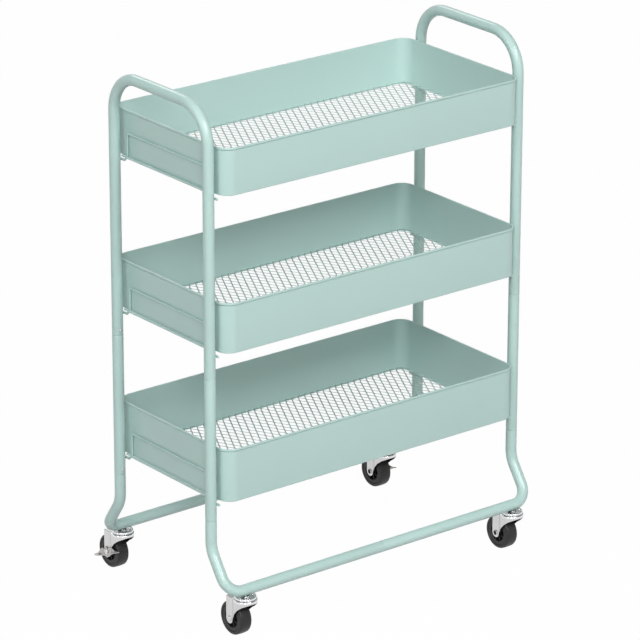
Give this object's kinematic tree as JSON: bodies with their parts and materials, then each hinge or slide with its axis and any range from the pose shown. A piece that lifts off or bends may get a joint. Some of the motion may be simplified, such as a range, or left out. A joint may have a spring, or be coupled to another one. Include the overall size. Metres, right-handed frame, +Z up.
{
  "type": "rolling utility cart",
  "caption": "Narrow rolling utility cart: mint round-tube frame with loop handles at both ends, three deep trays with mesh floors, and swivel casters with foot brakes at the back.",
  "frame": {"origin": "on the floor, under the centre of the bounding box of the cart with its casters trailing to the back", "axes": "+X to the right along the long side, +Y to the back where the brake levers are, +Z up"},
  "size_m": [0.56, 0.361, 0.773],
  "materials": {
    "powder_coat": "pale mint powder coat, satin, very fine texture",
    "zinc_steel": "bright zinc-plated pressed steel, satin",
    "chrome": "bright plated",
    "black_wheel": "black moulded wheel, satin sides and a slightly worn tread"
  },
  "bodies": {
    "frame": {"handle_left": "powder_coat", "lower_post_left_front": "powder_coat", "base_leg_left_front": "powder_coat", "upper_screw_left_front": "zinc_steel", "lower_screw_left_front": "zinc_steel", "lower_post_left_back": "powder_coat", "base_leg_left_back": "powder_coat", "upper_screw_left_back": "zinc_steel", "lower_screw_left_back": "zinc_steel", "handle_right": "powder_coat", "lower_post_right_front": "powder_coat", "base_leg_right_front": "powder_coat", "upper_screw_right_front": "zinc_steel", "lower_screw_right_front": "zinc_steel", "lower_post_right_back": "powder_coat", "base_leg_right_back": "powder_coat", "upper_screw_right_back": "zinc_steel", "lower_screw_right_back": "zinc_steel", "rail_joiner_front": "zinc_steel", "rail_joiner_back": "zinc_steel", "top_tray_wall": "powder_coat", "top_tray_floor": "powder_coat", "top_tray_bracket_left": "powder_coat", "top_tray_crossbar_left": "powder_coat", "top_tray_bracket_right": "powder_coat", "top_tray_crossbar_right": "powder_coat", "middle_tray_wall": "powder_coat", "middle_tray_floor": "powder_coat", "middle_tray_bracket_left": "powder_coat", "middle_tray_crossbar_left": "powder_coat", "middle_tray_bracket_right": "powder_coat", "middle_tray_crossbar_right": "powder_coat", "bottom_tray_wall": "powder_coat", "bottom_tray_floor": "powder_coat", "bottom_tray_bracket_left": "powder_coat", "bottom_tray_crossbar_left": "powder_coat", "bottom_tray_bracket_right": "powder_coat", "bottom_tray_crossbar_right": "powder_coat", "caster_stem_left_front": "zinc_steel", "caster_cup_left_front": "chrome", "caster_stem_left_back": "zinc_steel", "caster_cup_left_back": "chrome", "caster_stem_right_front": "zinc_steel", "caster_cup_right_front": "chrome", "caster_stem_right_back": "zinc_steel", "caster_cup_right_back": "chrome"},
    "fork_left_front": {"caster_fork_left_front": "zinc_steel", "caster_axle_left_front": "zinc_steel"},
    "wheel_left_front": {"caster_wheel_left_front": "black_wheel"},
    "fork_left_back": {"caster_fork_left_back": "zinc_steel", "caster_axle_left_back": "zinc_steel"},
    "wheel_left_back": {"caster_wheel_left_back": "black_wheel"},
    "brake_left": {"caster_brake_left_back": "zinc_steel"},
    "fork_right_front": {"caster_fork_right_front": "zinc_steel", "caster_axle_right_front": "zinc_steel"},
    "wheel_right_front": {"caster_wheel_right_front": "black_wheel"},
    "fork_right_back": {"caster_fork_right_back": "zinc_steel", "caster_axle_right_back": "zinc_steel"},
    "wheel_right_back": {"caster_wheel_right_back": "black_wheel"},
    "brake_right": {"caster_brake_right_back": "zinc_steel"}
  },
  "joints": [
    {"name": "swivel_left_front", "type": "hinge", "parent": "frame", "child": "fork_left_front", "pos_m": [-0.2425, -0.16333, 0.057], "axis": [0, 0, 1], "continuous": true},
    {"name": "spin_left_front", "type": "hinge", "parent": "fork_left_front", "child": "wheel_left_front", "pos_m": [-0.2425, -0.14183, 0.025], "axis": [1, 0, 0], "continuous": true},
    {"name": "swivel_left_back", "type": "hinge", "parent": "frame", "child": "fork_left_back", "pos_m": [-0.2425, 0.12867, 0.057], "axis": [0, 0, 1], "continuous": true},
    {"name": "spin_left_back", "type": "hinge", "parent": "fork_left_back", "child": "wheel_left_back", "pos_m": [-0.2425, 0.15017, 0.025], "axis": [1, 0, 0], "continuous": true},
    {"name": "brake_left", "type": "hinge", "parent": "fork_left_back", "child": "brake_left", "pos_m": [-0.2425, 0.15017, 0.025], "axis": [1, 0, 0], "range_deg": [0, 43]},
    {"name": "swivel_right_front", "type": "hinge", "parent": "frame", "child": "fork_right_front", "pos_m": [0.2425, -0.16333, 0.057], "axis": [0, 0, 1], "continuous": true},
    {"name": "spin_right_front", "type": "hinge", "parent": "fork_right_front", "child": "wheel_right_front", "pos_m": [0.2425, -0.14183, 0.025], "axis": [1, 0, 0], "continuous": true},
    {"name": "swivel_right_back", "type": "hinge", "parent": "frame", "child": "fork_right_back", "pos_m": [0.2425, 0.12867, 0.057], "axis": [0, 0, 1], "continuous": true},
    {"name": "spin_right_back", "type": "hinge", "parent": "fork_right_back", "child": "wheel_right_back", "pos_m": [0.2425, 0.15017, 0.025], "axis": [1, 0, 0], "continuous": true},
    {"name": "brake_right", "type": "hinge", "parent": "fork_right_back", "child": "brake_right", "pos_m": [0.2425, 0.15017, 0.025], "axis": [1, 0, 0], "range_deg": [0, 43]}
  ]
}
